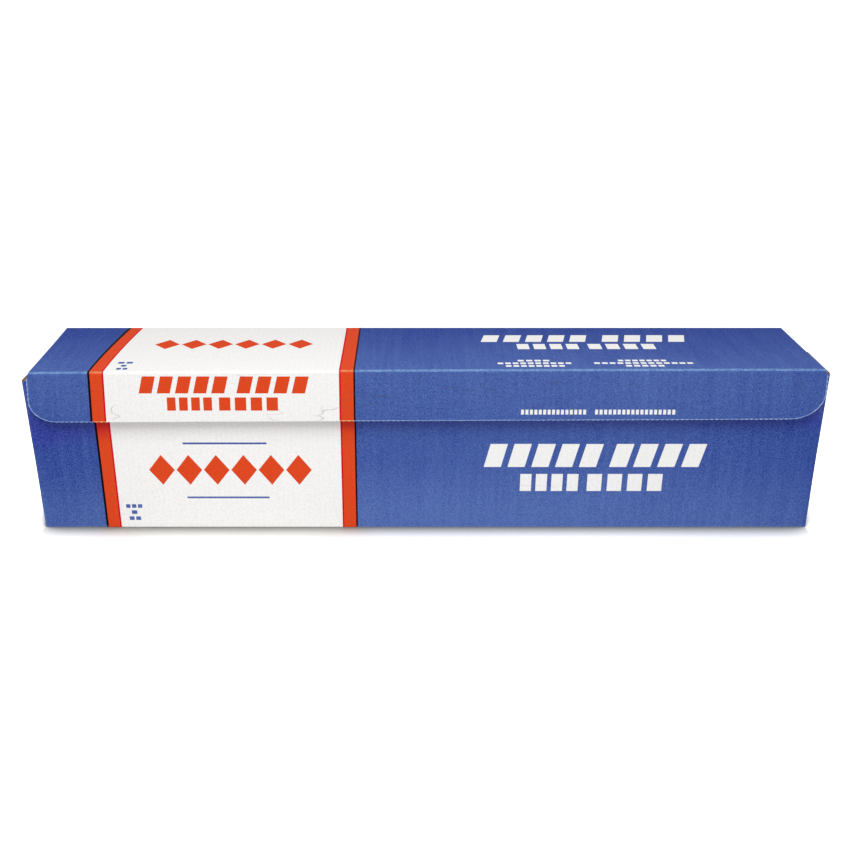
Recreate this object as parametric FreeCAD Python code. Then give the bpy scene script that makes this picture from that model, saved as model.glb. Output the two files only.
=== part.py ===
import FreeCAD, Part
import math
import os

os.makedirs("parts", exist_ok=True)

# Millimetres. X runs along the box, the front is towards -Y, and Z is up.
# The origin is the middle of the underside of the box.

# Corrugated board and its folds
board = 1.6
fold_radius = 1.4

# Foil roll and the tube that it is wound on
foil_width = 457.2
foil_diameter = 80.3
lead_thickness = 0.3
lead_length = 14.0
lead_root = 3.5
core_bore = 38.1
core_wall = 2.0
core_overhang = 0.8

# Spiral line of the turns, pressed into both end faces of the roll
turn_pitch = 3.0
turn_groove = 0.4
turn_depth = 0.5
turn_margin = 2.0

# Clearances that size the box round the roll
roll_side_gap = 2.25
roll_end_gap = 4.2
roll_seat_gap = 0.2
headroom = 15.3

# Flaps that close the two ends
end_seam = 2.0
end_flap_side_gap = 1.0
end_flap_drop = 2.5
end_flap_clip = 9.0

# Lid and its front flap
lid_rise = 4.2
lid_left_inset = 4.5
lid_right_inset = 3.0
crease_gap = 0.1
flap_length = 30.0
flap_tilt = 10.5
flap_corner_radius = 16.0

# Toothed strip on the inner face of the front flap
blade_thickness = 0.3
blade_width = 10.0
blade_end_inset = 11.0
blade_edge_setback = 0.3
tooth_pitch = 3.0
tooth_depth = 1.8

# Sizes that follow from those above
end_wall = 2 * board
tray_length = foil_width + 2 * roll_end_gap + 2 * end_wall
tray_depth = foil_diameter + 2 * roll_side_gap + 2 * board
front_height = board + foil_diameter + headroom
lid_height = front_height + lid_rise
half_length = tray_length / 2
half_depth = tray_depth / 2
lid_left = -half_length + lid_left_inset
lid_right = half_length - lid_right_inset
lid_width = lid_right - lid_left
lid_front = -half_depth - board
core_radius = core_bore / 2 + core_wall
turn_radius = (foil_diameter - lead_thickness) / 2
roll_centre_height = board + roll_seat_gap + turn_radius


def block(x0, x1, y0, y1, z0, z1):
    """A box between two corners."""
    return Part.makeBox(x1 - x0, y1 - y0, z1 - z0, FreeCAD.Vector(x0, y0, z0))


def prism_x(points, x0, x1):
    """A closed outline given as (y, z) points, drawn out from x0 to x1."""
    corners = [FreeCAD.Vector(x0, y, z) for y, z in points]
    outline = Part.makePolygon(corners + corners[:1])
    return Part.Face(outline).extrude(FreeCAD.Vector(x1 - x0, 0, 0))


def tray_shell():
    """Front, bottom, back and outer end flaps, with rounded folds."""
    outer = block(-half_length, half_length, -half_depth, half_depth, 0, front_height)
    folds = []
    for edge in outer.Edges:
        middle = edge.BoundBox.Center
        upright = edge.BoundBox.ZLength > board
        low_long_edge = edge.BoundBox.XLength > board and middle.z < board
        if upright or low_long_edge:
            folds.append(edge)
    outer = outer.makeFillet(fold_radius, folds)
    inner_length = half_length - board
    inner_depth = half_depth - board
    space = block(-inner_length, inner_length, -inner_depth, inner_depth, board, front_height + board)
    return outer.cut(space)


def end_seam_slot(side):
    """The upright gap where the front and back panels' end flaps meet."""
    inside = side * (half_length - board)
    outside = side * (half_length + board)
    x0, x1 = sorted((inside, outside))
    return block(x0, x1, -end_seam / 2, end_seam / 2, -board, front_height + board)


def inner_end_flap(side):
    """The bottom panel's end flap, folded up behind the outer ones, with clipped top corners."""
    reach = half_depth - board - end_flap_side_gap
    top = front_height - end_flap_drop
    outline = [
        (-reach, board),
        (reach, board),
        (reach, top - end_flap_clip),
        (reach - end_flap_clip, top),
        (-reach + end_flap_clip, top),
        (-reach, top - end_flap_clip),
    ]
    outside = side * (half_length - board)
    inside = side * (half_length - end_wall)
    x0, x1 = sorted((inside, outside))
    return prism_x(outline, x0, x1)


def back_panel_top():
    """The back panel's rise to the lid's crease, mitred at the fold."""
    outline = [
        (half_depth, front_height),
        (half_depth, lid_height),
        (half_depth - board, lid_height - board),
        (half_depth - board, front_height),
    ]
    return prism_x(outline, lid_left, lid_right)


def carton_tray():
    """The box without its lid: one folded and glued blank."""
    tray = tray_shell()
    for side in (-1, 1):
        tray = tray.cut(end_seam_slot(side))
        tray = tray.fuse(inner_end_flap(side))
    return tray.fuse(back_panel_top()).removeSplitter()


def lid():
    """The top panel, mitred at the rear crease and at the front crease."""
    rear = half_depth - crease_gap
    outline = [
        (rear, lid_height),
        (rear - board, lid_height - board),
        (lid_front + board, lid_height - board),
        (lid_front, lid_height),
    ]
    return prism_x(outline, lid_left, lid_right)


def seat_on_flap(shape):
    """Moves a shape drawn on an upright flap, with its crease at y = 0 and z = 0, to the tilted flap."""
    shape.rotate(FreeCAD.Vector(0, 0, 0), FreeCAD.Vector(-1, 0, 0), flap_tilt)
    shape.translate(FreeCAD.Vector(0, lid_front, lid_height))
    return shape


def lid_front_flap():
    """The lid's front flap, mitred along the crease, with rounded lower corners."""
    profile = [(0, 0), (board, -board), (board, -flap_length), (0, -flap_length)]
    flap = prism_x(profile, lid_left, lid_right)
    corners = []
    for edge in flap.Edges:
        across = edge.BoundBox.YLength > board / 2 and edge.BoundBox.XLength < board / 2
        if across and edge.BoundBox.ZMax < -flap_length / 2:
            corners.append(edge)
    return seat_on_flap(flap.makeFillet(flap_corner_radius, corners))


def cutter_blade():
    """The flat steel strip with a row of V teeth along its lower edge."""
    longest = lid_width - 2 * blade_end_inset
    teeth = int(longest / tooth_pitch)
    start = (lid_left + lid_right - teeth * tooth_pitch) / 2
    tip = -flap_length + blade_edge_setback
    root = tip + tooth_depth
    top = tip + blade_width
    edge = [(start, top), (start, root)]
    for tooth in range(teeth):
        edge.append((start + (tooth + 0.5) * tooth_pitch, tip))
        edge.append((start + (tooth + 1) * tooth_pitch, root))
    edge.append((start + teeth * tooth_pitch, top))
    corners = [FreeCAD.Vector(x, board, z) for x, z in edge]
    outline = Part.makePolygon(corners + corners[:1])
    blade = Part.Face(outline).extrude(FreeCAD.Vector(0, blade_thickness, 0))
    return seat_on_flap(blade)


def roll_core():
    """The paperboard tube."""
    length = foil_width + 2 * core_overhang
    start = FreeCAD.Vector(-length / 2, 0, roll_centre_height)
    along = FreeCAD.Vector(1, 0, 0)
    tube = Part.makeCylinder(core_radius, length, start, along)
    return tube.cut(Part.makeCylinder(core_bore / 2, length, start, along))


def half_turn(x, radius, centre, front):
    """Half of one turn on the front or rear side, in the plane at x, round a centre (y, z) = (0, centre)."""
    side = -1 if front else 1
    low = FreeCAD.Vector(x, 0, centre - radius)
    mid = FreeCAD.Vector(x, side * radius, centre)
    high = FreeCAD.Vector(x, 0, centre + radius)
    return Part.Arc(high, mid, low).toShape() if front else Part.Arc(low, mid, high).toShape()


def wound_foil(x):
    """The roll's outline: one turn that ends a foil's thickness higher, and the lifted lead edge."""
    top = turn_radius + lead_thickness
    root_height = math.sqrt(turn_radius ** 2 - lead_root ** 2)
    angle = (math.asin(lead_root / turn_radius) + math.pi) / 2
    front_side = Part.Arc(
        FreeCAD.Vector(x, -lead_root, root_height),
        FreeCAD.Vector(x, -turn_radius * math.sin(angle), turn_radius * math.cos(angle)),
        FreeCAD.Vector(x, 0, -turn_radius),
    ).toShape()
    rear_side = half_turn(x, turn_radius + lead_thickness / 2, lead_thickness / 2, False)
    lead = Part.makePolygon([
        FreeCAD.Vector(x, 0, top),
        FreeCAD.Vector(x, -lead_length, top),
        FreeCAD.Vector(x, -lead_length, turn_radius),
        FreeCAD.Vector(x, -lead_root, turn_radius),
        FreeCAD.Vector(x, -lead_root, root_height),
    ])
    return Part.Wire([front_side, rear_side] + lead.Edges)


def turn_line(x):
    """A narrow spiral band of half turns, from the tube out to the last turn."""
    first = core_radius + turn_margin
    turns = int((turn_radius - turn_margin - first) / turn_pitch)
    inner_edge = []
    outer_edge = []
    for turn in range(turns):
        radius = first + turn * turn_pitch
        for edge, extra in ((inner_edge, 0), (outer_edge, turn_groove)):
            edge.append(half_turn(x, radius + extra, 0, True))
            edge.append(half_turn(x, radius + extra + turn_pitch / 2, turn_pitch / 2, False))
    last = first + turns * turn_pitch
    ends = [
        Part.makeLine(FreeCAD.Vector(x, 0, first), FreeCAD.Vector(x, 0, first + turn_groove)),
        Part.makeLine(FreeCAD.Vector(x, 0, last), FreeCAD.Vector(x, 0, last + turn_groove)),
    ]
    return Part.Wire(Part.__sortEdges__(inner_edge + outer_edge + ends))


def foil_roll():
    """The foil's turns as one solid, with its bore on the tube and the turns' line on both ends."""
    half_width = foil_width / 2
    foil = Part.Face(wound_foil(-half_width)).extrude(FreeCAD.Vector(foil_width, 0, 0))
    start = FreeCAD.Vector(-half_width, 0, 0)
    foil = foil.cut(Part.makeCylinder(core_radius, foil_width, start, FreeCAD.Vector(1, 0, 0)))
    for x, inward in ((-half_width, 1), (half_width, -1)):
        groove = Part.Face(turn_line(x)).extrude(FreeCAD.Vector(inward * turn_depth, 0, 0))
        foil = foil.cut(groove)
    foil.translate(FreeCAD.Vector(0, 0, roll_centre_height))
    return foil


sub_parts = {
    "carton_tray": carton_tray,
    "lid": lid,
    "lid_front_flap": lid_front_flap,
    "cutter_blade": cutter_blade,
    "roll_core": roll_core,
    "foil_roll": foil_roll,
}

for name, make in sub_parts.items():
    shape = make()
    box = shape.BoundBox
    print(name, "solids", len(shape.Solids), "valid", shape.isValid(), "volume", round(shape.Volume, 1))
    print("  x", round(box.XMin, 2), round(box.XMax, 2), "y", round(box.YMin, 2), round(box.YMax, 2),
          "z", round(box.ZMin, 2), round(box.ZMax, 2))
    shape.exportStep("parts/" + name + ".step")
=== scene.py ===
import math

import bmesh
import bpy
from bpy.props import FloatProperty, FloatVectorProperty, IntProperty, PointerProperty
from mathutils import Matrix, Vector, noise


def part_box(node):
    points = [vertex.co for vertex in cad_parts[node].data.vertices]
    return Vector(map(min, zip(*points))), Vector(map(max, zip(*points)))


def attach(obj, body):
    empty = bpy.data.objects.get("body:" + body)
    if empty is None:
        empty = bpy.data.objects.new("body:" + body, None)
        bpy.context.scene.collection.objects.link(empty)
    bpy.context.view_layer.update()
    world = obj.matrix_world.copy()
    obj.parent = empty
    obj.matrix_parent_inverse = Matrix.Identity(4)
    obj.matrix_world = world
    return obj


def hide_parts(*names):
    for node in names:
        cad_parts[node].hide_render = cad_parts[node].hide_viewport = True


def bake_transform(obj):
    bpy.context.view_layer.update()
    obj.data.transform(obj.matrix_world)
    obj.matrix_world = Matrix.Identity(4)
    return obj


bl_info = {
    "name": "Boxed foil roll",
    "version": (1, 0, 0),
    "blender": (4, 5, 0),
    "location": "View3D > Sidebar > Foil roll",
    "description": "Dresses the packed foil box: printed board, creases, cutting blade, tube and foil",
    "category": "Object",
}

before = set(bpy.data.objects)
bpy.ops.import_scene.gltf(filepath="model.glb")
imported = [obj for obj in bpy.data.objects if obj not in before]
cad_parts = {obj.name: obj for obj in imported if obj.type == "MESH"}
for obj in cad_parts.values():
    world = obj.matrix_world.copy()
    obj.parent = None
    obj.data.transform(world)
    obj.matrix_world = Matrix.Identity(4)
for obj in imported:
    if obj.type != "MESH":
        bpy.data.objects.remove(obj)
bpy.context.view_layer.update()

# Sizes and places read from the frame, in metres
TRAY_LOW, TRAY_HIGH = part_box("carton_tray")
LID_LOW, LID_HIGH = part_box("lid")
FLAP_LOW, FLAP_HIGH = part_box("lid_front_flap")
BLADE_LOW, BLADE_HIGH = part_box("cutter_blade")
CORE_LOW, CORE_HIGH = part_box("roll_core")
FOIL_LOW, FOIL_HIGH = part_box("foil_roll")
BOARD = LID_HIGH.z - LID_LOW.z
HALF_LENGTH = TRAY_HIGH.x
HALF_DEPTH = TRAY_HIGH.y
CREASE_Y = LID_LOW.y
CREASE_Z = LID_HIGH.z
FRONT_TOP = max(v.co.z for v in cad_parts["carton_tray"].data.vertices if v.co.y < 0)
ROLL_Z = (CORE_LOW.z + CORE_HIGH.z) / 2
CORE_RADIUS = (CORE_HIGH.z - CORE_LOW.z) / 2
TURN_RADIUS = ROLL_Z - FOIL_LOW.z

MM = 0.001
FULL_TURN = 2 * math.pi

# The lid sits a little to the left on its tray
LID_LEFT = LID_LOW.x - 0.5 * MM
LID_RIGHT = LID_HIGH.x - 0.7 * MM


def ink(red, green, blue):
    """A colour given as 8-bit screen values, in the linear values that shaders take."""
    return tuple(((c / 255 + 0.055) / 1.055) ** 2.4 if c > 10 else c / 3295 for c in (red, green, blue))


def length(label, note, value):
    """A length property in metres."""
    return FloatProperty(name=label, description=note, default=value, min=0, unit="LENGTH", precision=5)


def colour(label, note, value):
    """A colour property."""
    return FloatVectorProperty(name=label, description=note, default=value, subtype="COLOR", min=0, max=1)


class CartonSettings(bpy.types.PropertyGroup):
    """Sizes and inks of the printed board."""

    fold_radius: length("Fold radius", "Outside radius of the folded corners", 1.8 * MM)
    foot_radius: length("Foot radius", "Outside radius of the long folds at the foot", 0.3 * MM)
    lean_left: length("Left lean", "How far the left end stands out at its top", 1.6 * MM)
    lean_right: length("Right lean", "How far the right end stands out at its foot", 1.1 * MM)
    lid_spring: length("Lid spring", "How far the lid's board springs above its fold lines", 0.4 * MM)
    crease_bow: length("Crease bow", "Rise of the middle of the lid's front crease", 0.6 * MM)
    crease_radius: length("Crease radius", "Outside radius of the lid's two creases", 1.5 * MM)
    crease_reach: length("Crease reach", "How far the pressed crease runs each side of its fold", 2.0 * MM)
    crease_skin: length("Crease skin", "Thickness of the pressed board at a crease", 0.6 * MM)
    liner: length("Liner", "Thickness of the board's outer and inner liners", 0.28 * MM)
    flute_pitch: length("Flute pitch", "Distance from one flute to the next", 3.2 * MM)
    medium: length("Medium", "Thickness of the fluted sheet between the liners", 0.2 * MM)
    cut_depth: length("Cut depth", "How far the flutes can be seen in from a cut edge", 2.0 * MM)
    end_seam: length("End seam", "Gap where the end flaps meet", 2.0 * MM)
    inner_flap_drop: length("Inner flap drop", "How much lower the inner end flap is", 2.5 * MM)
    inner_flap_clip: length("Inner flap clip", "Clipped corner of the inner end flap", 9.0 * MM)
    inner_flap_gap: length("Inner flap gap", "Gap each side of the inner end flap", 1.0 * MM)
    back_flap_drop: length("Back flap drop", "How much lower the back panel's end flaps are", 1.5 * MM)
    flap_length: length("Flap length", "Depth of the lid's front flap", 29.6 * MM)
    flap_tilt: FloatProperty(
        name="Flap tilt", description="How far the front flap stands out from upright",
        default=math.radians(10.5), subtype="ANGLE",
    )
    flap_left: length("Flap left", "How far the front flap reaches past the lid at the left", 1.8 * MM)
    flap_right: length("Flap right", "How far the front flap reaches past the lid at the right", 1.9 * MM)
    corner_left: length("Left corner", "Width of the front flap's rounded left corner", 16.0 * MM)
    corner_right: length("Right corner", "Width of the front flap's rounded right corner", 20.0 * MM)
    corner_share: FloatProperty(
        name="Corner share", description="Height of a rounded corner as a share of its width", default=0.8
    )
    nick_pitch: length("Nick pitch", "Distance between the die cut's nicks", 2.9 * MM)
    nick_depth: length("Nick depth", "Depth of the die cut's nicks", 0.28 * MM)
    front_slope: length("Front slope", "Rise of the tray's front edge from the middle to each end", 2.2 * MM)
    lid_slope: length("Lid slope", "Rise of the lid's front crease from the middle to each end", 1.0 * MM)
    blue: colour("Blue", "The blue field where the ink is full", ink(43, 67, 149))
    pale_blue: colour("Pale blue", "The blue field where the ink is thin", ink(93, 120, 184))
    red: colour("Red", "The orange-red stripes", ink(226, 74, 34))
    crimson: colour("Crimson", "The thin line inside each stripe", ink(214, 4, 34))
    black: colour("Black", "The thin line outside each stripe", ink(4, 4, 12))
    white: colour("White", "The unprinted top liner", ink(250, 249, 247))
    kraft: colour("Kraft", "The brown inner liner", ink(206, 174, 128))


class RollSettings(bpy.types.PropertyGroup):
    """Sizes of the foil, its tube and the blade."""

    lead_step: length("Lead step", "Height of the step at the foil's free end", 0.3 * MM)
    lead_length: length("Lead length", "How far the free end lifts off the roll", 14.0 * MM)
    crinkle: length("Crinkle", "Height of the foil's crinkles", 0.16 * MM)
    end_turns: IntProperty(name="End turns", description="Turns drawn on each end face", default=46, min=1)
    core_wall: length("Tube wall", "Wall of the paperboard tube", 2.0 * MM)
    blade_thickness: length("Blade thickness", "Thickness of the steel strip", 0.3 * MM)
    blade_width: length("Blade width", "Width of the strip to its teeth's tips", 10.0 * MM)
    blade_setback: length("Blade setback", "Tips' distance from the flap's edge", 0.3 * MM)
    tooth_pitch: length("Tooth pitch", "Distance from one tooth to the next", 3.0 * MM)
    tooth_depth: length("Tooth depth", "Height of a tooth", 1.8 * MM)


class StageSettings(bpy.types.PropertyGroup):
    """The camera and the light."""

    camera_place: FloatVectorProperty(
        name="Camera place", description="Where the camera stands",
        default=(-0.01476, -0.69328, 0.31579), subtype="TRANSLATION",
    )
    camera_tilt: FloatProperty(
        name="Camera tilt", description="The camera's turn up from straight down",
        default=math.radians(63.834), subtype="ANGLE",
    )
    lens: FloatProperty(name="Lens", description="Focal length in millimetres", default=49.17)
    sky: FloatProperty(name="Sky", description="Strength of the even light from all sides", default=0.55)
    key: FloatProperty(name="Key", description="Power of the main soft lamp in watts", default=4.6)
    key_size: FloatProperty(name="Key size", description="Width of the main lamp", default=0.5, unit="LENGTH")
    key_place: FloatVectorProperty(
        name="Key place", description="Where the main lamp hangs, in front and above",
        default=(-0.05, -0.6, 0.8), subtype="TRANSLATION",
    )
    floor_gain: FloatProperty(name="Floor gain", description="Paleness of the floor", default=1.5)


def settings():
    """The three groups of settings on the scene."""
    scene = bpy.context.scene
    return scene.foil_box_carton, scene.foil_box_roll, scene.foil_box_stage


# Shader building


class Graph:
    """A short way to write node trees."""

    def __init__(self, tree):
        self.tree = tree

    def node(self, kind, inputs=None, **fields):
        made = self.tree.nodes.new(kind)
        for field, value in fields.items():
            setattr(made, field, value)
        for socket, value in (inputs or {}).items():
            self.feed(made.inputs[socket], value)
        return made

    def feed(self, socket, value):
        if isinstance(value, bpy.types.NodeSocket):
            self.tree.links.new(value, socket)
        else:
            socket.default_value = value

    def math(self, operation, *values, clamp=False):
        made = self.node("ShaderNodeMath", operation=operation, use_clamp=clamp)
        for socket, value in zip(made.inputs, values):
            self.feed(socket, value)
        return made.outputs[0]

    def mix(self, factor, first, second):
        made = self.node("ShaderNodeMix", data_type="RGBA")
        self.feed(made.inputs["Factor"], factor)
        self.feed(made.inputs["A"], first if isinstance(first, bpy.types.NodeSocket) else (*first, 1))
        self.feed(made.inputs["B"], second if isinstance(second, bpy.types.NodeSocket) else (*second, 1))
        return made.outputs["Result"]

    def noise(self, vector, scale, detail=2.0, roughness=0.5):
        made = self.node(
            "ShaderNodeTexNoise",
            {"Vector": vector, "Scale": scale, "Detail": detail, "Roughness": roughness},
        )
        return made.outputs["Fac"]

    def stretched(self, vector, *scale):
        """The vector with its axes scaled, for a pattern drawn out along an axis."""
        return self.node("ShaderNodeMapping", {"Vector": vector, "Scale": scale}).outputs[0]

    def ramp(self, value, low, high):
        """0 at low and 1 at high, and straight between."""
        return self.math("MULTIPLY_ADD", value, 1 / (high - low), -low / (high - low), clamp=True)

    def past(self, value, edge, width):
        """0 below edge and 1 above it, with a soft step of that width."""
        return self.math("MULTIPLY_ADD", value, 1 / width, 0.5 - edge / width, clamp=True)

    def below(self, value, edge, width):
        """1 below edge and 0 above it, with a soft step of that width."""
        return self.math("MULTIPLY_ADD", value, -1 / width, 0.5 + edge / width, clamp=True)

    def between(self, value, low, high, width):
        return self.math("MULTIPLY", self.past(value, low, width), self.below(value, high, width))


def new_material(name):
    """A material with one Principled shader and its graph."""
    made = bpy.data.materials.new(name)
    made.use_nodes = True
    made.node_tree.nodes.clear()
    graph = Graph(made.node_tree)
    shader = graph.node("ShaderNodeBsdfPrincipled")
    output = graph.node("ShaderNodeOutputMaterial")
    graph.tree.links.new(shader.outputs["BSDF"], output.inputs["Surface"])
    return made, graph, shader


def object_place(graph):
    """The object coordinates as a vector and as x, y and z."""
    place = graph.node("ShaderNodeTexCoord").outputs["Object"]
    split = graph.node("ShaderNodeSeparateXYZ", {"Vector": place})
    return place, split.outputs["X"], split.outputs["Y"], split.outputs["Z"]


def add_bump(graph, shader, height, distance, strength=1.0):
    """Relief from a height between 0 and 1."""
    bump = graph.node("ShaderNodeBump", {"Height": height, "Distance": distance, "Strength": strength})
    graph.feed(shader.inputs["Normal"], bump.outputs["Normal"])


# The print: a white field between two stripes, on blue, with rows of plain bars and lozenges

EDGE = 0.12 * MM
STRIPE_LEFT = (-197.7 * MM, -196.4 * MM, -189.3 * MM, -188.3 * MM)
STRIPE_RIGHT = (-41.6 * MM, -42.6 * MM, -50.0 * MM, -51.0 * MM)
LEFT_SWEEP = 0.01
LEFT_CURVE = 0.66
LEFT_FLARES = (0.0, 0.008, 0.0, 0.0)
RIGHT_SWEEP = 0.008


def bar_row(x0, x1, count, low, high, lean=0.0, fill=0.72):
    """Where a row of plain bars is printed: millimetres along and across the panel."""
    return {"kind": "bars", "x0": x0, "x1": x1, "count": count, "low": low, "high": high, "lean": lean, "fill": fill}


def lozenge_row(x0, x1, count, low, high):
    """Where a row of lozenges is printed."""
    return {"kind": "lozenges", "x0": x0, "x1": x1, "count": count, "low": low, "high": high, "lean": 0.0, "fill": 1.0}


def fine_rows(x0, x1, low, high, shares):
    """Centred rows of small bars, one above the other from the foot, each with its share of the width."""
    step = (high - low) / len(shares)
    middle = (x0 + x1) / 2
    rows = []
    for number, share in enumerate(shares):
        half = (x1 - x0) * share / 2
        foot = low + (number + 0.2) * step
        count = max(1, round(2 * half / (0.85 * step)))
        rows.append(bar_row(middle - half, middle + half, count, foot, foot + 0.6 * step, fill=0.74))
    return rows


FRONT_MARKS = {
    "white": [
        bar_row(35.3, 107.4, 5, 40.4, 55.4, 0.25),
        bar_row(111.3, 169.6, 4, 40.4, 55.4, 0.25),
        bar_row(57.8, 95.9, 4, 24.5, 35.8),
        bar_row(98.7, 147.9, 4, 24.5, 35.8),
    ],
    "red": [lozenge_row(-168.3, -68.5, 6, 28.0, 49.0)],
    "blue": [
        bar_row(-146.0, -95.6, 1, 55.2, 56.4, fill=1.0),
        bar_row(-146.0, -95.6, 1, 19.6, 20.8, fill=1.0),
        *fine_rows(-184.3, -173.4, 4.0, 16.4, (0.75, 0.42, 1.0)),
    ],
}
FLAP_MARKS = {
    "white": [bar_row(55.7, 94.8, 15, 76.6, 79.4, fill=0.66), bar_row(99.2, 147.2, 18, 76.6, 79.4, fill=0.66)],
    "red": [
        bar_row(-168.4, -115.3, 5, 88.8, 98.6, 0.25),
        bar_row(-111.2, -68.0, 4, 88.8, 98.6, 0.25),
        bar_row(-152.1, -123.7, 4, 78.8, 86.5),
        bar_row(-121.6, -84.4, 4, 78.8, 86.5),
    ],
    "blue": [],
}
LID_MARKS = {
    "white": [
        bar_row(35.0, 104.2, 5, 11.4, 25.9, 0.2),
        bar_row(110.7, 166.4, 4, 11.4, 25.9, 0.2),
        bar_row(56.9, 97.6, 4, -4.2, 6.8),
        bar_row(100.9, 145.2, 4, -4.2, 6.8),
        *fine_rows(42.3, 87.0, -41.2, -25.4, (0.8, 1.0, 0.45)),
        *fine_rows(99.4, 159.0, -41.2, -25.4, (0.4, 1.0, 0.5)),
    ],
    "red": [lozenge_row(-168.6, -69.0, 6, -2.5, 17.5)],
    "blue": fine_rows(-183.1, -173.1, -43.0, -26.0, (0.75, 0.42, 1.0)),
}


def mark_mask(graph, mark, along, across):
    """1 on the row's bars or lozenges and 0 elsewhere."""
    pitch = (mark["x1"] - mark["x0"]) * MM / mark["count"]
    low = mark["low"] * MM
    high = mark["high"] * MM
    leaned = graph.math("MULTIPLY_ADD", across, -mark["lean"], mark["lean"] * low)
    shifted = graph.math("ADD", along, leaned)
    turns = graph.math("MULTIPLY_ADD", shifted, 1 / pitch, -mark["x0"] * MM / pitch)
    edge = EDGE / pitch
    row = graph.between(turns, 0.0, float(mark["count"]), edge)
    cell = graph.math("FRACT", turns)
    if mark["kind"] == "bars":
        band = graph.between(across, low, high, EDGE)
        if mark["fill"] < 1:
            row = graph.math("MULTIPLY", row, graph.between(cell, 0.0, mark["fill"], edge))
        return graph.math("MULTIPLY", row, band)
    sideways = graph.math("ABSOLUTE", graph.math("MULTIPLY_ADD", cell, 2.0, -1.0))
    middle = (low + high) / 2
    half = (high - low) / 2
    upward = graph.math("ABSOLUTE", graph.math("MULTIPLY_ADD", across, 1 / half, -middle / half))
    reach = graph.math("ADD", sideways, upward)
    return graph.math("MULTIPLY", row, graph.below(reach, 0.94, 2 * edge))


def all_marks(graph, marks, along, across):
    """The union of several marks' masks."""
    total = 0.0
    for mark in marks:
        total = graph.math("MAXIMUM", mark_mask(graph, mark, along, across), total)
    return total


def blue_field(graph, place, x, y, z, grain):
    """The blue field: paler along the lid's front and the front panel's foot, and deeper towards the ends."""
    carton = settings()[0]
    forward = graph.ramp(y, HALF_DEPTH, CREASE_Y)
    foot = graph.ramp(z, 45 * MM, 0.0)
    upper = graph.between(z, 24 * MM, 76 * MM, 26 * MM)
    ends = graph.math("POWER", graph.math("MULTIPLY", graph.math("ABSOLUTE", x), 1 / HALF_LENGTH), 3.0)
    broad = graph.noise(place, 14.0, 2.0)
    streak = graph.noise(graph.stretched(place, 1.0, 0.05, 0.05), 330.0, 2.0)
    # thin is how far the blue goes from the full blue towards the pale blue.
    thin = graph.math("MULTIPLY_ADD", forward, 0.5, 0.1)
    thin = graph.math("MULTIPLY_ADD", foot, 0.3, thin)
    thin = graph.math("MULTIPLY_ADD", upper, -0.14, thin)
    end_weight = graph.math("MULTIPLY_ADD", graph.ramp(z, 70 * MM, 76 * MM), 0.2, -0.3)
    thin = graph.math("MULTIPLY_ADD", ends, end_weight, thin)
    for pattern, share in ((broad, 0.35), (streak, 0.4), (grain, 1.7)):
        thin = graph.math("MULTIPLY_ADD", graph.math("SUBTRACT", pattern, 0.5), share, thin)
    field = graph.mix(graph.math("ADD", thin, 0.0, clamp=True), carton.blue, carton.pale_blue)
    hue = graph.math("MULTIPLY_ADD", graph.noise(place, 1500.0, 1.0), 0.07, 0.465)
    return graph.node("ShaderNodeHueSaturation", {"Hue": hue, "Color": field}).outputs[0]


def stripes(graph, x, y, field):
    """The white field between two stripes, each a black line, a red band and a crimson line."""
    carton = settings()[0]
    depth = graph.math("ADD", y, -CREASE_Y)
    depth = graph.math("MINIMUM", graph.math("MAXIMUM", depth, 0.0), HALF_DEPTH - CREASE_Y)
    bend = graph.math("MULTIPLY_ADD", depth, -LEFT_CURVE, -LEFT_SWEEP)
    on_left = graph.math("MULTIPLY_ADD", depth, bend, x)
    on_right = graph.math("MULTIPLY_ADD", depth, -RIGHT_SWEEP, x)
    inside = None
    paints = (carton.black, carton.red, carton.crimson, carton.white)
    for left, right, flare, paint in zip(STRIPE_LEFT, STRIPE_RIGHT, LEFT_FLARES, paints):
        flared = graph.math("MULTIPLY_ADD", depth, -flare, on_left)
        inside = graph.math("MULTIPLY", graph.past(flared, left, EDGE), graph.below(on_right, right, EDGE))
        field = graph.mix(inside, field, paint)
    return field, inside


def rubbed(graph, place, result, amount):
    """The print with its ink thinned by rubbing, most at amount 1."""
    rub = graph.noise(graph.stretched(place, 0.5, 1.0, 1.0), 800.0, 3.0, 0.7)
    rub = graph.math("MULTIPLY_ADD", rub, 2.4, -0.55, clamp=True)
    pale = graph.node("ShaderNodeGamma", {"Color": result, "Gamma": 0.5}).outputs[0]
    cool = graph.node("ShaderNodeMix", data_type="RGBA", blend_type="MULTIPLY")
    for socket, value in (("Factor", 1.0), ("A", pale), ("B", (0.86, 1.1, 1.04, 1))):
        graph.feed(cool.inputs[socket], value)
    share = graph.math("MULTIPLY", graph.math("MULTIPLY", rub, amount), saturation(graph, result))
    return graph.mix(share, result, cool.outputs["Result"])


def redness(graph, result):
    """1 on the red ink and 0 on the blue."""
    parts = graph.node("ShaderNodeSeparateColor", {"Color": result}).outputs
    return graph.math("MULTIPLY", graph.math("SUBTRACT", parts["Red"], parts["Blue"]), 1.5, clamp=True)


def saturation(graph, result):
    """1 on full ink and 0 on the white."""
    return graph.node("ShaderNodeSeparateColor", {"Color": result}, mode="HSV").outputs["Green"]


def deepened(graph, result, amount, on_blue, on_red):
    """The print with its ink multiplied by one colour on the blue and another on the red."""
    factor = graph.math("MULTIPLY", amount, saturation(graph, result))
    made = graph.node("ShaderNodeMix", data_type="RGBA", blend_type="MULTIPLY")
    for socket, value in (("Factor", factor), ("A", result), ("B", graph.mix(redness(graph, result), on_blue, on_red))):
        graph.feed(made.inputs[socket], value)
    return made.outputs["Result"]


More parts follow.
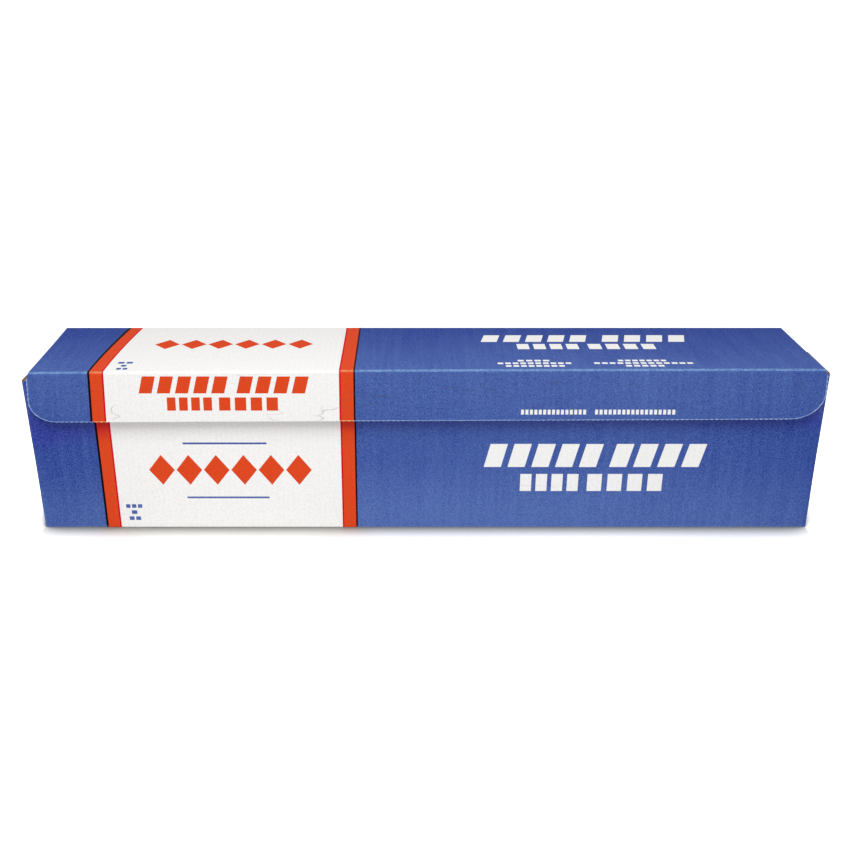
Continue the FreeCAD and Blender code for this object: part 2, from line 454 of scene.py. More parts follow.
def wrinkle_shade_lines(graph, place, result):
    """Short fine wrinkles in the paper, drawn as painted shade: faint dark lines in a few places."""
    warp = graph.noise(graph.stretched(place, 30.0, 90.0, 90.0), 1.0, 2.0)
    line = graph.math("MULTIPLY_ADD", graph.math("ABSOLUTE", graph.math("SUBTRACT", warp, 0.5)), -60.0, 1.0, clamp=True)
    some = graph.math("MULTIPLY_ADD", graph.noise(place, 45.0, 1.0), 7.0, -3.5, clamp=True)
    return graph.mix(graph.math("MULTIPLY", graph.math("MULTIPLY", line, some), 0.36), result, ink(70, 72, 100))


def flap_wear_and_shade(graph, place, x, y, z, result):
    """The flap's nicked edge: a pale line, with dashes of the white and brown board, and the painted shade of a few
    wrinkles.
    """
    carton = settings()[0]
    scale = 1 / math.cos(carton.flap_tilt)
    rise = graph.math("MULTIPLY", x, carton.lid_slope / HALF_LENGTH * scale)
    drop = graph.math("ADD", graph.math("MULTIPLY_ADD", z, -scale, lid_top() * scale), rise)
    left = graph.math("ADD", x, carton.flap_left - LID_LEFT)
    right = graph.math("SUBTRACT", LID_RIGHT + carton.flap_right, x)
    inward = 1.0
    for side, width in ((left, carton.corner_left), (right, carton.corner_right)):
        height = width * carton.corner_share
        sideways = graph.math("MAXIMUM", graph.math("MULTIPLY_ADD", side, -1 / width, 1.0), 0.0)
        foot = 1 - carton.flap_length / height
        downward = graph.math("MAXIMUM", graph.math("MULTIPLY_ADD", drop, 1 / height, foot), 0.0)
        squares = [graph.math("MULTIPLY", v, v) for v in (sideways, downward)]
        reach = graph.math("SQRT", graph.math("ADD", *squares))
        inward = graph.math("MINIMUM", graph.math("MULTIPLY_ADD", reach, -height, height), inward)
    ragged = graph.math("MULTIPLY_ADD", graph.noise(place, 900.0), 0.5 * MM, inward)
    band = graph.below(ragged, 0.8 * MM, 0.25 * MM)
    run = graph.math("MULTIPLY", graph.math("SUBTRACT", drop, graph.math("MINIMUM", left, right)), 1 / carton.nick_pitch)
    dash = graph.between(graph.math("FRACT", run), 0.08, 0.6, 0.12)
    patchy = graph.math("MULTIPLY_ADD", graph.noise(place, 120.0), 2.0, -0.3, clamp=True)
    strength = graph.math("MULTIPLY", graph.math("MULTIPLY", dash, patchy), 0.32)
    brown = graph.math("MULTIPLY_ADD", graph.noise(place, 70.0), 3.0, -1.6, clamp=True)
    bare = graph.mix(brown, carton.white, carton.kraft)
    pale = graph.mix(redness(graph, result), ink(136, 172, 226), ink(252, 176, 96))
    share = graph.math("MULTIPLY", saturation(graph, result), graph.math("MULTIPLY_ADD", patchy, 0.25, 0.75))
    result = graph.mix(graph.math("MULTIPLY", band, share), result, pale)
    result = graph.mix(graph.math("MULTIPLY", band, strength), result, bare)
    return wrinkle_shade_lines(graph, place, result)


def front_wear_and_shade(graph, place, x, y, z, result):
    """The front panel: painted shade just below the flap's edge, deeper and more violet on the blue and more crimson on
    the red; painted shade along the right-hand corner fold; and a lower fold rubbed pale on the blue.
    """
    carton = settings()[0]
    facing = graph.below(y, 2 * MM - HALF_DEPTH, MM)
    # Painted shade: the band just below the flap, where its shadow falls, is deepened, and it reaches lower at the left
    # end.
    raised = graph.math("MULTIPLY_ADD", graph.ramp(x, -175 * MM, -225 * MM), 14 * MM, z)
    under_flap_shade = graph.math("MULTIPLY", facing, graph.ramp(raised, 62 * MM, 73 * MM))
    result = deepened(graph, result, under_flap_shade, (1.02, 0.72, 1.02), (0.95, 0.35, 1.7))
    # Painted shade: the print is darkened along the right-hand corner fold.
    corner = graph.math("MULTIPLY", facing, graph.ramp(x, HALF_LENGTH - 1.6 * MM, HALF_LENGTH - 0.3 * MM))
    result = deepened(graph, result, graph.math("MULTIPLY", corner, 0.8), (0.5, 0.4, 0.8), (0.8, 0.4, 0.8))
    ragged = graph.math("MULTIPLY_ADD", graph.noise(place, 400.0), 0.5 * MM, z)
    on_blue = graph.math("SUBTRACT", 1.0, redness(graph, result))
    on_blue = graph.math("MULTIPLY", graph.math("MULTIPLY", facing, on_blue), saturation(graph, result))
    for reach, softness, share, paint in (
        (1.1 * MM, 0.5 * MM, 0.3, ink(136, 160, 215)), (0.35 * MM, 0.2 * MM, 0.8, tuple(carton.kraft)),
    ):
        band = graph.math("MULTIPLY", graph.below(ragged, reach, softness), on_blue)
        result = graph.mix(graph.math("MULTIPLY", band, share), result, paint)
    return result


def flap_painted_shade(graph, y):
    """Painted shade: the flap's print is made a little darker, against the extra light that its outward tilt catches.
    """
    return 0.925


def lid_painted_light(graph, y):
    """Painted light and shade: the lid's print is made paler towards the front and darker at the rear, as the lamp's
    light falls off across it.
    """
    return graph.math("MULTIPLY_ADD", graph.ramp(y, HALF_DEPTH, CREASE_Y), 0.08, 0.965)


def printed_board(name, marks=None, mark_axis="Z", wear_and_shade=None, rub=0.0, shade=None):
    """The printed outer liner. A panel can bring a function of its own marks, rubbed edges and painted shade; rub thins
    all its ink; and the last argument adds the panel's painted light and shade, a tone for how the light falls on it.
    """
    carton = settings()[0]
    made, graph, shader = new_material(name)
    place, x, y, z = object_place(graph)
    fibre = graph.noise(place, 1400.0, 3.0, 0.6)
    grain = graph.noise(place, 1600.0, 2.0, 0.6)
    along = graph.math("MULTIPLY_ADD", fibre, 0.16 * MM, graph.math("ADD", x, -0.08 * MM))
    blue = blue_field(graph, place, x, y, z, grain)
    result, white_field = stripes(graph, along, y, blue)
    if marks:
        across = {"Y": y, "Z": z}[mark_axis]
        for paint, rows in ((carton.white, marks["white"]), (carton.red, marks["red"]), (blue, marks["blue"])):
            if rows:
                result = graph.mix(all_marks(graph, rows, along, across), result, paint)
    if wear_and_shade:
        result = wear_and_shade(graph, place, x, y, z, result)
    if rub:
        result = rubbed(graph, place, result, rub)
    # The flute ribs show in the bump and, faintly, as painted shading in the tone.
    rib = graph.math("SINE", graph.math("MULTIPLY", x, FULL_TURN / carton.flute_pitch))
    # The panel's painted light and shade enter the tone here.
    tone = graph.math("MULTIPLY_ADD", rib, 0.008, shade(graph, y) if shade else 1.0)
    tone = graph.math("MULTIPLY_ADD", graph.math("SUBTRACT", grain, 0.5), 0.42, tone)
    toned = graph.node("ShaderNodeHueSaturation", {"Value": tone, "Color": result})
    graph.feed(shader.inputs["Base Color"], toned.outputs[0])
    gloss = graph.math("MULTIPLY_ADD", white_field, 0.1, 0.62)
    graph.feed(shader.inputs["Roughness"], graph.math("MULTIPLY_ADD", fibre, 0.12, gloss))
    shader.inputs["Specular IOR Level"].default_value = 0.05
    cells = graph.node("ShaderNodeTexVoronoi", {"Vector": place, "Scale": 24.0}, feature="DISTANCE_TO_EDGE")
    wrinkle = graph.math("MULTIPLY", cells.outputs["Distance"], 24.0, clamp=True)
    dents = graph.math("MULTIPLY", wrinkle, graph.math("MULTIPLY_ADD", graph.noise(place, 12.0), 4.0, -2.0, clamp=True))
    height = graph.math("MULTIPLY_ADD", rib, 0.12, graph.math("MULTIPLY", fibre, 0.35))
    height = graph.math("MULTIPLY_ADD", dents, 0.5, height)
    drawn = graph.noise(graph.stretched(place, 12.0, 60.0, 150.0), 1.0, 1.0)
    ridge = graph.math("ABSOLUTE", graph.math("SUBTRACT", drawn, 0.5))
    ridge = graph.math("MULTIPLY_ADD", ridge, -30.0, 1.0, clamp=True)
    some = graph.math("MULTIPLY_ADD", graph.noise(place, 22.0, 1.0), 6.0, -3.2, clamp=True)
    height = graph.math("MULTIPLY_ADD", graph.math("MULTIPLY", ridge, some), 4.0, height)
    add_bump(graph, shader, height, 0.06 * MM, 0.7)
    return made


def bare_board(name, tint, ribs=1.0, dark=0.0):
    """Unprinted brown board, with its fibres and the flutes showing through."""
    carton = settings()[0]
    made, graph, shader = new_material(name)
    place, x, y, z = object_place(graph)
    fibre = graph.noise(place, 1100.0, 4.0, 0.65)
    strand = graph.noise(graph.stretched(place, 0.12, 1.0, 1.0), 1500.0, 3.0, 0.6)
    cloud = graph.noise(place, 35.0, 4.0, 0.6)
    pale = tuple(min(1.0, c * 1.12 + 0.015) for c in tint)
    deep = tuple(c * (0.74 - dark) for c in tint)
    rib = graph.math("SINE", graph.math("MULTIPLY", x, FULL_TURN / carton.flute_pitch))
    light = graph.math("MULTIPLY_ADD", fibre, 1.1, -0.1)
    # The flute ribs show in the bump and, faintly, as painted shading in the colour.
    light = graph.math("MULTIPLY_ADD", rib, 0.07 * ribs, light)
    light = graph.math("MULTIPLY_ADD", graph.math("SUBTRACT", strand, 0.5), 1.2, light)
    result = graph.mix(graph.math("ADD", light, 0.0, clamp=True), deep, tint)
    result = graph.mix(graph.math("MULTIPLY_ADD", cloud, 0.8, -0.2, clamp=True), result, pale)
    speck = graph.math("MULTIPLY_ADD", graph.noise(graph.stretched(place, 0.3, 1.0, 1.0), 800.0), 9.0, -6.0, clamp=True)
    result = graph.mix(graph.math("MULTIPLY", speck, 0.4), result, tuple(c * 0.45 for c in tint))
    graph.feed(shader.inputs["Base Color"], result)
    shader.inputs["Roughness"].default_value = 0.85
    shader.inputs["Specular IOR Level"].default_value = 0.15
    height = graph.math("MULTIPLY_ADD", rib, 0.45 * ribs, fibre)
    add_bump(graph, shader, height, 0.07 * MM, 0.8)
    return made


def blade_steel():
    """Bright strip steel, with fine rolling lines along it."""
    made, graph, shader = new_material("blade_steel")
    place, x, y, z = object_place(graph)
    lines = graph.noise(graph.stretched(place, 0.02, 1.0, 1.0), 9000.0, 2.0)
    smear = graph.noise(graph.stretched(place, 0.2, 1.0, 1.0), 160.0, 3.0)
    graph.feed(shader.inputs["Base Color"], graph.mix(smear, ink(140, 143, 148), ink(188, 191, 196)))
    shader.inputs["Metallic"].default_value = 1.0
    graph.feed(shader.inputs["Roughness"], graph.math("MULTIPLY_ADD", lines, 0.22, 0.2))
    add_bump(graph, shader, lines, 0.01 * MM, 0.5)
    return made


def foil_skin():
    """The roll's outside: satin foil with bright and dull lines round the roll, and faint crinkles."""
    made, graph, shader = new_material("foil_skin")
    place, x, y, z = object_place(graph)
    rings = graph.noise(graph.stretched(place, 1.0, 0.01, 0.01), 2600.0, 2.0, 0.6)
    bands = graph.noise(graph.stretched(place, 1.0, 0.04, 0.04), 210.0, 3.0, 0.6)
    crumple = graph.node("ShaderNodeTexVoronoi", {"Vector": place, "Scale": 90.0}, feature="DISTANCE_TO_EDGE")
    fold = graph.math("MULTIPLY", crumple.outputs["Distance"], 3.0, clamp=True)
    shine = graph.math("MULTIPLY_ADD", rings, 0.9, graph.math("MULTIPLY_ADD", bands, 0.5, -0.25))
    graph.feed(
        shader.inputs["Base Color"],
        graph.mix(graph.math("ADD", shine, 0.0, clamp=True), ink(172, 175, 180), ink(208, 210, 214)),
    )
    shader.inputs["Metallic"].default_value = 1.0
    roughness = graph.math("MULTIPLY_ADD", rings, 0.14, 0.18)
    graph.feed(shader.inputs["Roughness"], graph.math("MULTIPLY_ADD", bands, 0.1, roughness))
    height = graph.math("MULTIPLY_ADD", rings, 0.2, graph.math("MULTIPLY", fold, 0.6))
    add_bump(graph, shader, height, 0.14 * MM, 0.5)
    return made


def foil_ends():
    """The roll's end faces: the cut edges of many turns, as fine rings."""
    made, graph, shader = new_material("foil_ends")
    place, x, y, z = object_place(graph)
    centred = graph.node("ShaderNodeMapping", {"Vector": place, "Location": (0.0, 0.0, -ROLL_Z)}).outputs[0]
    split = graph.node("ShaderNodeSeparateXYZ", {"Vector": centred})
    squares = [graph.math("MULTIPLY", split.outputs[axis], split.outputs[axis]) for axis in ("Y", "Z")]
    radius = graph.math("SQRT", graph.math("ADD", *squares))
    ring_place = graph.node("ShaderNodeCombineXYZ", {"X": radius}).outputs[0]
    fine = graph.noise(ring_place, 5200.0, 3.0, 0.75)
    band = graph.noise(ring_place, 420.0, 2.0)
    graph.feed(shader.inputs["Base Color"], graph.mix(fine, ink(120, 123, 128), ink(214, 217, 221)))
    shader.inputs["Metallic"].default_value = 1.0
    roughness = graph.math("MULTIPLY_ADD", fine, 0.25, 0.24)
    graph.feed(shader.inputs["Roughness"], graph.math("MULTIPLY_ADD", band, 0.15, roughness))
    add_bump(graph, shader, graph.math("ADD", fine, band), 0.12 * MM, 0.8)
    return made


def tube_board():
    """The tube's grey-brown board, with the slanting seams of its wound strips."""
    made, graph, shader = new_material("tube_board")
    place, x, y, z = object_place(graph)
    fibre = graph.noise(place, 1300.0, 4.0, 0.6)
    raised = graph.math("ADD", z, -ROLL_Z)
    angle = graph.math("ARCTAN2", y, raised)
    strip = graph.math("MULTIPLY_ADD", x, 1 / 0.085, graph.math("MULTIPLY", angle, 1 / FULL_TURN))
    cell = graph.math("FRACT", strip)
    seam = graph.math("SUBTRACT", 1.0, graph.math("MULTIPLY", cell, 60.0, clamp=True))
    tint = graph.mix(fibre, ink(168, 142, 108), ink(196, 172, 136))
    graph.feed(shader.inputs["Base Color"], graph.mix(graph.math("MULTIPLY", seam, 0.6), tint, ink(112, 90, 62)))
    shader.inputs["Roughness"].default_value = 0.82
    shader.inputs["Specular IOR Level"].default_value = 0.25
    add_bump(graph, shader, graph.math("SUBTRACT", fibre, seam), 0.1 * MM, 0.7)
    return made


def camera_shown(graph):
    """1 for what the camera sees straight, and 1 for what it sees in metal or through glass."""
    path = graph.node("ShaderNodeLightPath")
    mirrored = graph.math(
        "MAXIMUM", path.outputs["Is Glossy Ray"], path.outputs["Is Transmission Ray"]
    )
    return path.outputs["Is Camera Ray"], mirrored


# Mesh building

# The worn print is rubbed ink, and on the tray's corner folds it is also a painted highlight.
OUTSIDE, INSIDE, CUT, WORN_AND_SHEEN = range(4)
CUT_RAMP = 1.5 * MM
RUB_WIDTH = 0.4 * MM
FLUTE_SETBACK = 0.2 * MM
FLARE_DEPTH = 4.0 * MM
CELL_SIDES = (
    ((-1, 0, 0), ((0, 0, 0), (0, 0, 1), (0, 1, 1), (0, 1, 0))),
    ((1, 0, 0), ((1, 0, 0), (1, 1, 0), (1, 1, 1), (1, 0, 1))),
    ((0, -1, 0), ((0, 0, 0), (1, 0, 0), (1, 0, 1), (0, 0, 1))),
    ((0, 1, 0), ((0, 1, 0), (0, 1, 1), (1, 1, 1), (1, 1, 0))),
    ((0, 0, -1), ((0, 0, 0), (0, 1, 0), (1, 1, 0), (1, 0, 0))),
    ((0, 0, 1), ((0, 0, 1), (1, 0, 1), (1, 1, 1), (0, 1, 1))),
)


def spread(low, high, step):
    """Evenly spaced values from low to high, about step apart."""
    count = max(1, round((high - low) / step))
    return [low + (high - low) * i / count for i in range(count + 1)]


def merged(values, tolerance=1e-6):
    """Sorted values with near copies dropped."""
    kept = []
    for value in sorted(values):
        if not kept or value - kept[-1] > tolerance:
            kept.append(value)
    return kept


def lattice(name, us, vs, ws, filled, place, finish, materials, wrap=False):
    """A closed mesh round the filled cells of a lattice with knots us, vs and ws."""
    columns = len(us) - 1
    rows = len(vs) - 1
    layers = len(ws) - 1
    ring = columns if wrap else columns + 1
    points = []
    numbers = {}
    faces = []
    slots = []

    def inside(i, j, k):
        if wrap:
            i %= columns
        return 0 <= i < columns and 0 <= j < rows and 0 <= k < layers and filled(i, j, k)

    def corner(i, j, k):
        key = (i % ring, j, k)
        if key not in numbers:
            numbers[key] = len(points)
            points.append(place(us[key[0]], vs[j], ws[k]))
        return numbers[key]

    for i in range(columns):
        for j in range(rows):
            for k in range(layers):
                if not inside(i, j, k):
                    continue
                for (di, dj, dk), corners in CELL_SIDES:
                    if inside(i + di, j + dj, k + dk):
                        continue
                    faces.append([corner(i + a, j + b, k + c) for a, b, c in corners])
                    slots.append(finish(i, j, k, (di, dj, dk)))
    mesh = bpy.data.meshes.new(name)
    mesh.from_pydata(points, [], faces)
    mesh.polygons.foreach_set("material_index", slots)
    for material in materials:
        mesh.materials.append(material)
    return piece_from(name, mesh)


def piece_from(name, mesh, smooth_angle=35.0):
    """A finished mesh as an object, with its faces outwards and smooth over gentle bends."""
    work = bmesh.new()
    work.from_mesh(mesh)
    bmesh.ops.recalc_face_normals(work, faces=work.faces)
    work.to_mesh(mesh)
    work.free()
    mesh.polygons.foreach_set("use_smooth", [True] * len(mesh.polygons))
    mesh.set_sharp_from_angle(angle=math.radians(smooth_angle))
    mesh.name = name
    made = bpy.data.objects.new(name, mesh)
    bpy.context.scene.collection.objects.link(made)
    return made


def plain_line(name, points):
    """A mesh of edges only, as the path for a tree."""
    mesh = bpy.data.meshes.new(name)
    mesh.from_pydata(points, [(i, i + 1) for i in range(len(points) - 1)], [])
    return mesh


def new_tree(name, inputs):
    """An empty geometry tree with named inputs."""
    tree = bpy.data.node_groups.new(name, "GeometryNodeTree")
    for label, kind, default in inputs:
        socket = tree.interface.new_socket(name=label, in_out="INPUT", socket_type="NodeSocket" + kind)
        if default is not None:
            socket.default_value = default
    tree.interface.new_socket(name="Geometry", in_out="OUTPUT", socket_type="NodeSocketGeometry")
    graph = Graph(tree)
    return tree, graph, graph.node("NodeGroupInput").outputs


def end_tree(graph, geometry, material):
    """Closes a tree with Realize Instances and Set Material."""
    real = graph.node("GeometryNodeRealizeInstances", {"Geometry": geometry})
    dressed = graph.node("GeometryNodeSetMaterial", {"Geometry": real.outputs[0], "Material": material})
    output = graph.node("NodeGroupOutput")
    graph.tree.links.new(dressed.outputs[0], output.inputs["Geometry"])


def grown(name, tree, base, values):
    """The tree's result on a base mesh, as a plain mesh."""
    worker = bpy.data.objects.new(name + "_worker", base)
    modifier = worker.modifiers.new("tree", "NODES")
    modifier.node_group = tree
    for item in tree.interface.items_tree:
        if item.in_out == "INPUT" and item.name in values:
            modifier[item.identifier] = values[item.name]
    bpy.context.scene.collection.objects.link(worker)
    graph = bpy.context.evaluated_depsgraph_get()
    mesh = bpy.data.meshes.new_from_object(worker.evaluated_get(graph), depsgraph=graph)
    bpy.data.objects.remove(worker)
    return mesh


def flute_tree():
    """The wavy sheet between the liners, along a cut edge's path."""
    tree, graph, given = new_tree("Flutes along an edge", [
        ("Geometry", "Geometry", None),
        ("Pitch", "Float", 0.0032),
        ("Height", "Float", 0.0008),
        ("Depth", "Vector", (0.0, 0.0, -0.002)),
        ("Thickness", "Float", 0.0002),
        ("Material", "Material", None),
    ])
    curve = graph.node("GeometryNodeMeshToCurve", {"Mesh": given["Geometry"]}).outputs[0]
    fine = graph.node("GeometryNodeResampleCurve", {"Curve": curve})
    fine.mode = "LENGTH"
    graph.feed(fine.inputs["Length"], graph.math("DIVIDE", given["Pitch"], 10.0))
    run = graph.node("GeometryNodeSplineParameter").outputs["Length"]
    phase = graph.math("MULTIPLY", graph.math("DIVIDE", run, given["Pitch"]), FULL_TURN)
    swing = graph.math("MULTIPLY", graph.math("SINE", phase), graph.math("MULTIPLY", given["Height"], 0.5))
    tangent = graph.node("GeometryNodeInputTangent").outputs[0]
    across = graph.node("ShaderNodeVectorMath", {0: tangent, 1: given["Depth"]}, operation="CROSS_PRODUCT")
    unit = graph.node("ShaderNodeVectorMath", {0: across.outputs[0]}, operation="NORMALIZE")
    offset = graph.node("ShaderNodeVectorMath", {0: unit.outputs[0], "Scale": swing}, operation="SCALE")
    wavy = graph.node(
        "GeometryNodeSetPosition", {"Geometry": fine.outputs[0], "Offset": offset.outputs[0]}
    )
    line = graph.node("GeometryNodeCurveToMesh", {"Curve": wavy.outputs[0]})
    ribbon = graph.node(
        "GeometryNodeExtrudeMesh", {"Mesh": line.outputs[0], "Offset": given["Depth"], "Offset Scale": 1.0},
        mode="EDGES",
    )
    sheet = graph.node(
        "GeometryNodeExtrudeMesh",
        {"Mesh": ribbon.outputs[0], "Offset Scale": given["Thickness"], "Individual": False},
        mode="FACES",
    )
    back = graph.node("GeometryNodeFlipFaces", {"Mesh": ribbon.outputs[0]})
    both = graph.node("GeometryNodeJoinGeometry")
    graph.tree.links.new(back.outputs[0], both.inputs[0])
    graph.tree.links.new(sheet.outputs[0], both.inputs[0])
    closed = graph.node("GeometryNodeMergeByDistance", {"Geometry": both.outputs[0], "Distance": 1e-7})
    end_tree(graph, closed.outputs[0], given["Material"])
    return tree


def teeth_tree():
    """One tooth repeated along a line."""
    tree, graph, given = new_tree("Row of teeth", [
        ("Geometry", "Geometry", None),
        ("Count", "Int", 10),
        ("Pitch", "Float", 0.003),
        ("Material", "Material", None),
    ])
    step = graph.node("ShaderNodeCombineXYZ", {"X": given["Pitch"]})
    line = graph.node("GeometryNodeMeshLine", {"Count": given["Count"], "Offset": step.outputs[0]})
    row = graph.node("GeometryNodeInstanceOnPoints", {"Points": line.outputs[0], "Instance": given["Geometry"]})
    end_tree(graph, row.outputs[0], given["Material"])
    return tree


def turns_tree():
    """The edges of the foil's turns: one long spiral ridge, a little uneven."""
    tree, graph, given = new_tree("Spiral of turns", [
        ("Geometry", "Geometry", None),
        ("Turns", "Float", 40.0),
        ("Inner radius", "Float", 0.02),
        ("Outer radius", "Float", 0.04),
        ("Ridge", "Float", 0.0003),
        ("Unevenness", "Float", 0.0004),
        ("Material", "Material", None),
    ])
    spiral = graph.node("GeometryNodeCurveSpiral", {
        "Resolution": 72, "Rotations": given["Turns"], "Start Radius": given["Inner radius"],
        "End Radius": given["Outer radius"], "Height": 0.0,
    })
    place = graph.node("GeometryNodeInputPosition").outputs[0]
    radius = graph.node("ShaderNodeVectorMath", {0: place}, operation="LENGTH").outputs["Value"]
    ring = graph.node("ShaderNodeCombineXYZ", {"X": radius}).outputs[0]
    rough = graph.noise(ring, 900.0, 2.0)
    slow = graph.noise(place, 30.0, 1.0)
    lift = graph.math("MULTIPLY", graph.math("ADD", graph.math("ADD", rough, slow), -1.0), given["Unevenness"])
    offset = graph.node("ShaderNodeCombineXYZ", {"Z": lift}).outputs[0]
    uneven = graph.node("GeometryNodeSetPosition", {"Geometry": spiral.outputs[0], "Offset": offset})
    section = graph.node("GeometryNodeCurvePrimitiveCircle", {"Resolution": 4, "Radius": given["Ridge"]})
    ridge = graph.node(
        "GeometryNodeCurveToMesh",
        {"Curve": uneven.outputs[0], "Profile Curve": section.outputs[0], "Fill Caps": True},
    )
    end_tree(graph, ridge.outputs[0], given["Material"])
    return tree


def finish_piece(made, body, replaced=()):
    """Puts a piece on its body and the solids that it stands for."""
    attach(made, body)
    if replaced:
        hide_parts(*replaced)


def board_materials(marks=None, mark_axis="Z", name="plain", wear_and_shade=None, rub=0.6, shade=None):
    """Printed face, brown face, cut edge and worn print, in the order of the lattice's slots. The worn print is rubbed
    ink, and on the tray's corner folds it is also a painted highlight.
    """
    carton = settings()[0]
    brown = bpy.data.materials.get("kraft_liner") or bare_board("kraft_liner", tuple(carton.kraft))
    raw = bpy.data.materials.get("cut_board") or bare_board("cut_board", ink(190, 152, 104), 0.0, 0.12)
    return (
        printed_board("print_" + name, marks, mark_axis, wear_and_shade, 0.0, shade),
        brown,
        raw,
        printed_board("worn_and_sheen_" + name, marks, mark_axis, wear_and_shade, rub, shade),
    )


def board_layers():
    """Depths through the board: liner, fluted middle and liner."""
    liner = settings()[0].liner
    return [0.0, liner, BOARD - liner, BOARD]


def uneven(x, y, z, scale, seed):
    """A smooth value between about -1 and 1 at a place, the same in each run."""
    return noise.noise(Vector((x * scale + seed, y * scale, z * scale)))


def lid_top():
    """The lid's outer face, which springs a little above its fold lines."""
    return CREASE_Z + settings()[0].lid_spring


def lean(x, y, z):
    """How far the end walls stand out of true: the left one at its top and the right one at its foot."""
    carton = settings()[0]
    share = x / HALF_LENGTH * (0.5 - 0.5 * y / HALF_DEPTH)
    if x < 0:
        return carton.lean_left * share * z / FRONT_TOP
    return carton.lean_right * share * (1 - 0.6 * z / FRONT_TOP)


def lid_rise(x, y):
    """The lid's front edge lies a little lower at the left and higher at the right."""
    carton = settings()[0]
    share = min(1.0, max(0.0, (HALF_DEPTH - y) / (HALF_DEPTH - CREASE_Y)))
    along = x / HALF_LENGTH
    return share * (carton.lid_slope * along + carton.crease_bow * (1 - along ** 2))


def flutes(name, path, depth, tree, body):
    """The fluted sheet showing along one cut edge."""
    carton = settings()[0]
    medium = bpy.data.materials.get("fluted_sheet") or bare_board("fluted_sheet", ink(178, 140, 94), 0.0, 0.1)
    mesh = grown(name, tree, plain_line(name, path), {
        "Pitch": carton.flute_pitch,
        "Height": BOARD - 2 * carton.liner - carton.medium,
        "Depth": depth,
        "Thickness": carton.medium,
        "Material": medium,
    })
    made = piece_from(name, mesh, 60.0)
    finish_piece(made, body)
    return made


